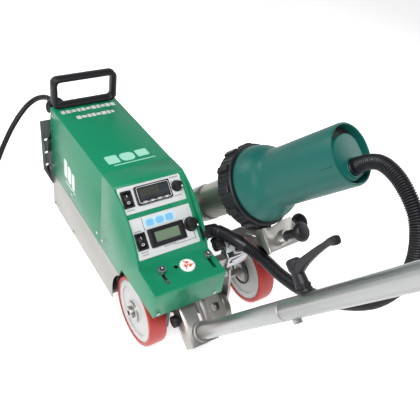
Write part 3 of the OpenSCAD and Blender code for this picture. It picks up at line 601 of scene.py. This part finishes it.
screws = Piece(MACHINE)
SCREW = [(3.2, 0), (3.2, 0.7), (2.7, 1.3), (1.6, 1.5), (1.3, 0.6), (0, 0.6)]
for y, z in ((231, 154), (359, 154), (466, 154), (231, 46), (359, 46), (466, 46), (466, 285), (206, 154)):
    for side in (-1, 1):
        facing = Matrix.Rotation(math.radians(90 * side), 4, "Y")
        screws.lathe(SCREW, 18, Matrix.Translation((70 * side, y, z)) @ facing)
for x in (-60, 54):
    screws.lathe(SCREW, 18, Matrix.Translation((x, 0, 159)) @ Matrix.Rotation(math.radians(90), 4, "X"))
screws.make("housing_screw_heads", MAT["bright_steel"], "chassis", "steel", angle=25,
            instead=["housing_screws"])


# ---- mains gland ----
def relief_ribs(a, z):
    return 1 + (0.05 if z > 17 and int(z) % 4 < 2 else 0)


Piece(turned(MACHINE, (-54, BODY_L + 4, 288), axis_x=-90)).lathe(
    [(17, -3.9), (17, 3), (19.6, 5), (20, 7), (18.8, 11), (15.5, 15), (11, 17)]
    + [(10.8 - 0.115 * k * 1.5, 17.2 + k) for k in range(12)]
    + [(6.2, 29), (0, 29)], 40, shape=relief_ribs).make(
    "mains_gland_dome", MAT["black_rubber"], "chassis", "black_plastic", instead=["cable_gland"])


# ---- blower ----
def blower_pieces():
    skirt = [(65.4, -31), (65.4, 0.2)]
    bell = [(67 * math.cos(math.radians(a)), 67 * math.sin(math.radians(a))) for a in range(2, 41, 3)]
    fillet = [(50.6, 45.5), (49.6, 47.8), (49.0, 51)]
    barrel = [(49, 80), (48.9, 187), (48.2, 190.2), (46.6, 191), (45.2, 190.2), (44.6, 187), (44.4, 176.2),
              (0, 176.2)]

    def oval(a, z):
        return 1 - 0.045 * (0.5 - 0.5 * math.cos(2 * a)) * min(1, max(0, (z - 45) / 60))
    Piece(BLOWER).lathe(skirt + bell + fillet + barrel, 96, shape=oval).make(
        "blower_housing", MAT["teal_plastic"], "blower", "teal_plastic", angle=40, instead=["blower_shell"])
    Piece(BLOWER).prism(circle(44, 64), 176.3, 177.2).make(
        "blower_end_recess", MAT["black_plastic"], "blower", "black_plastic")
    block = Piece(BLOWER)
    outline = round_rect(70, 66, 28, (3, -4), 10)
    steps = ((1, 177), (1, 186.5), (0.985, 187.6), (0.95, 188.2))
    block.skin([[Vector((x * f, y * f, z)) for x, y in outline] for f, z in steps])
    block.make("blower_end_block", MAT["teal_plastic"], "blower", "teal_plastic", angle=30)
    cuff = turned(BLOWER, (20, -6, 0))
    rim = [(16.5, 187), (16.5, 189.2), (15.4, 190.2), (12.4, 190.2), (11.7, 189), (11.7, 184), (16.5, 184)]
    Piece(cuff).lathe(rim, 40, closed=True).make(
        "hose_socket_rim", MAT["teal_plastic"], "blower", "teal_plastic")
    path = even(spline(HOSE_HIGH, 12), 0.8)[::-1][:30]
    Piece(MACHINE).tube(path, lambda run: 13.4 if run < 17 else 12.6, 32, cap=True).make(
        "hose_cuff", MAT["black_rubber"], "blower", "black_rubber", angle=30)
    seam = Piece(BLOWER)
    for turn in (90, 270):
        place = Matrix.Rotation(math.radians(turn), 4, "Z")
        seam.prism([(46.93, -0.35), (46.97, 0.35), (46.6, 0.35), (46.6, -0.35)], 108, 186, place)
    seam.make("blower_parting_lines", MAT["black_plastic"], "blower", "black_plastic")
    lugs = Piece(BLOWER)
    for k in range(12):
        place = Matrix.Rotation(math.radians(30 * k + 12), 4, "Z")
        rings = []
        for r, w, c in ((70, 5.6, -0.6), (74.6, 5.2, 0), (75.5, 4.4, 0.8)):
            corners = ((-w, -31 + c), (w, -31 + c), (w, -7 - c), (-w, -7 - c))
            rings.append([place @ Vector((r, y, z)) for y, z in corners])
        lugs.skin(rings)
    lugs.lathe([(65.6, -33.5), (70.4, -33.5), (71.2, -32.6), (71.6, -5), (72.4, -3.6), (72.2, -1.2), (71, 0),
                (65.6, 0)], 96, closed=True)
    for k in range(48):
        place = Matrix.Rotation(math.radians(7.5 * k), 4, "Z")
        lugs.prism([(71.2, -0.8), (72.3, -0.5), (72.3, 0.5), (71.2, 0.8)], -30, -8, place)
    lugs.make("blower_collar_ring", MAT["black_plastic"], "blower", "black_plastic", angle=30,
              instead=["blower_collar"])
    Piece(BLOWER).lathe([(33.2, -60), (34.6, -59.4), (34.6, -55), (33.2, -54.4)], 64, closed=True).make(
        "tube_clamp_band", MAT["stainless"], "blower", "stainless")
    plungers = (("tilt", "tilt_pin", turned(BRACKET, (97.5, 17, -7.7)), 12, 26),
                ("side", "side_pin", turned(BRACKET, (86, 54, -17), axis_x=-90), 6, 14))
    for name, body, frame, pin, neck in plungers:
        top = pin + neck
        profile = [(3, -10), (3, pin), (7.6, pin), (8, pin + 0.6), (8, top - 3), (9.5, top - 0.6), (13, top),
                   (16.4, top + 5), (17, top + 8), (16.6, top + 10.6), (14.4, top + 13.6), (11.5, top + 15),
                   (0, top + 15.4)]
        Piece(frame).lathe(profile, 56).make(
            f"{name}_plunger_knob", MAT["black_plastic"], body, "black_plastic", angle=30,
            instead=[f"{name}_plunger"])


blower_pieces()


# ---- wheels ----
def wheel_pieces():
    for side, x, outer in (("left", -61, -1), ("right", 188, 1)):
        frame = turned(MACHINE, (x, WHEEL_Y, WHEEL_Z), axis_y=90)
        section = [(62, 0.6), (66.5, 0.1), (68.4, 0.6), (70.2, 2.4), (70.9, 5), (71, 18), (70.9, 31),
                   (70.2, 33.6), (68.4, 35.4), (66.5, 35.9), (62, 35.4), (61.8, 18)]
        Piece(frame).lathe(section, 120, closed=True).make(
            f"{side}_tyre", MAT["red_tyre"], "drive_axle", "red_tyre", angle=40)
        face = 0 if outer < 0 else WHEEL_W
        other = WHEEL_W - face
        centre = Piece(frame)
        for z, s in ((face, outer), (other, -outer)):
            flange = [(12.2, 1.0), (12.2, 2.6), (18.6, 2.2), (20.6, 1.2), (21, -1.6), (12.2, -1.6)]
            centre.lathe([(r, z + s * h) for r, h in flange], 56, closed=True)
        centre.make(f"{side}_hub_flange", MAT["steel"], "drive_axle", "steel", angle=25)
        black = Piece(frame)
        for z, s in ((face, outer), (other, -outer)):
            if (side, z) != ("left", 0):
                band = [(25, -1.6), (25, 0.8), (28.6, 0.8), (28.6, -1.6)]
                black.lathe([(r, z + s * h) for r, h in band], 56, closed=True)
        black.make(f"{side}_hub_ring", MAT["black_rubber"], "drive_axle", "black_plastic", angle=25)
    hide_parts("tyres")
    ends = Piece(turned(MACHINE, (0, WHEEL_Y, WHEEL_Z), axis_y=90))
    for x, s in ((-70, -1), (233, 1)):
        ends.prism(circle(6.4, 6), *sorted((x - s * 2, x)))
    ends.make("axle_bolt_heads", MAT["bright_steel"], "drive_axle", "steel", bevel=0.4)


wheel_pieces()


# ---- guide bar ----
def guide_pieces():
    for s in (-1, 1):
        frame = turned(GUIDE, (26 * s, 0, 1073), axis_y=90 * s)
        profile = [(12.2, 0), (17.4, 0), (17.6, 3)]
        for k in range(16):
            profile += [(16, 5 + 4 * k), (16, 6.6 + 4 * k), (15.1, 7.2 + 4 * k), (15.1, 8.4 + 4 * k)]
        profile += [(16, 70), (16.2, 75), (14.5, 78), (0, 78)]
        Piece(frame).lathe(profile, 40).make(
            "left_grip" if s < 0 else "right_grip", MAT["grip_rubber"], "guide_top", "grip_rubber", angle=25)
    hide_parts("handle_grips")
    Piece(GUIDE).lathe([(15.02, 303.4), (15.3, 303.8), (15.3, 305), (15.02, 305.2)], 48, closed=True).make(
        "lower_tube_lip", MAT["steel"], "guide_bar", "steel")
    hub = turned(GUIDE, (0, 0, LEVER_S), axis_x=-90)

    def grooves(a, z):
        return 1 - (0.06 if (21 < z < 26 or z > 49) and math.cos(12 * a) < 0 else 0)
    lever = Piece(hub)
    lever.lathe([(10.2, 15.6), (10.9, 16.4), (10.9, 20), (10, 20.4), (9.8, 21.5), (10.8, 22), (10.8, 26),
                 (9.6, 27), (8.4, 44), (9.6, 46), (10, 48), (10, 57), (9.4, 59), (7.5, 60.6), (5, 61.4),
                 (4.6, 60), (0, 60)], 96, shape=grooves)
    lever.make("lever_hub", MAT["black_plastic"], "lever", "black_plastic", angle=30)
    arm = Piece(turned(GUIDE, (0, 0, LEVER_S)))
    spine = [(45, 0, 15, 17), (49, 12, 13.5, 15), (53, 26, 12, 12.5), (56.5, 42, 11, 10.5), (59.5, 58, 10, 9),
             (61.8, 74, 9.4, 8), (63, 84, 10, 9.2), (62.6, 91, 11.4, 11.4), (62, 96, 11.2, 11),
             (61.8, 97.6, 9, 9)]
    rings = spline(spine, 4)
    loops = []
    for i, (y, z, w, h) in enumerate(rings):
        before, after = rings[max(i - 1, 0)], rings[min(i + 1, len(rings) - 1)]
        ahead = Vector((0, after[0] - before[0], after[1] - before[1])).normalized()
        up = Vector((0, ahead.z, -ahead.y))
        section = round_rect(13, 13, 4.4, n=4)
        loops.append([Vector((u * w / 13, y, z)) + up * (v * h / 13) for u, v in section])
    arm.skin(loops)
    arm.make("lever_arm", MAT["black_plastic"], "lever", "black_plastic", angle=40, instead=["clamp_lever"])


guide_pieces()


# ---- finishes of the CAD nodes ----
slots = {row["node"]: row["material_slot"] for row in FRAME["record"]["subparts"]}
BEVEL = {"rear_housing": 1.6, "front_cover": 1.6, "lower_skirt": 0.5, "slide_rail": 0.8, "saddle_clamp": 1.0,
         "blower_bracket": 0.6, "carrying_handle": 4.0, "guide_bracket": 0.8, "end_bracket": 0.5,
         "chassis_frame": 0.5, "nozzle": 0.5}
OWN = {"steel_roller": DULL_STEEL, "heating_tube": TEMPERED, "slide_rail": MAT["stainless"]}
for node_name, obj in NODES.items():
    if obj.hide_render:
        continue
    obj.data.materials.clear()
    obj.data.materials.append(OWN.get(node_name, MAT[slots[node_name]]))
    weld = obj.modifiers.new("weld", "WELD")
    weld.merge_threshold = 1e-5
    soften(obj, 32, BEVEL.get(node_name, 0.35))
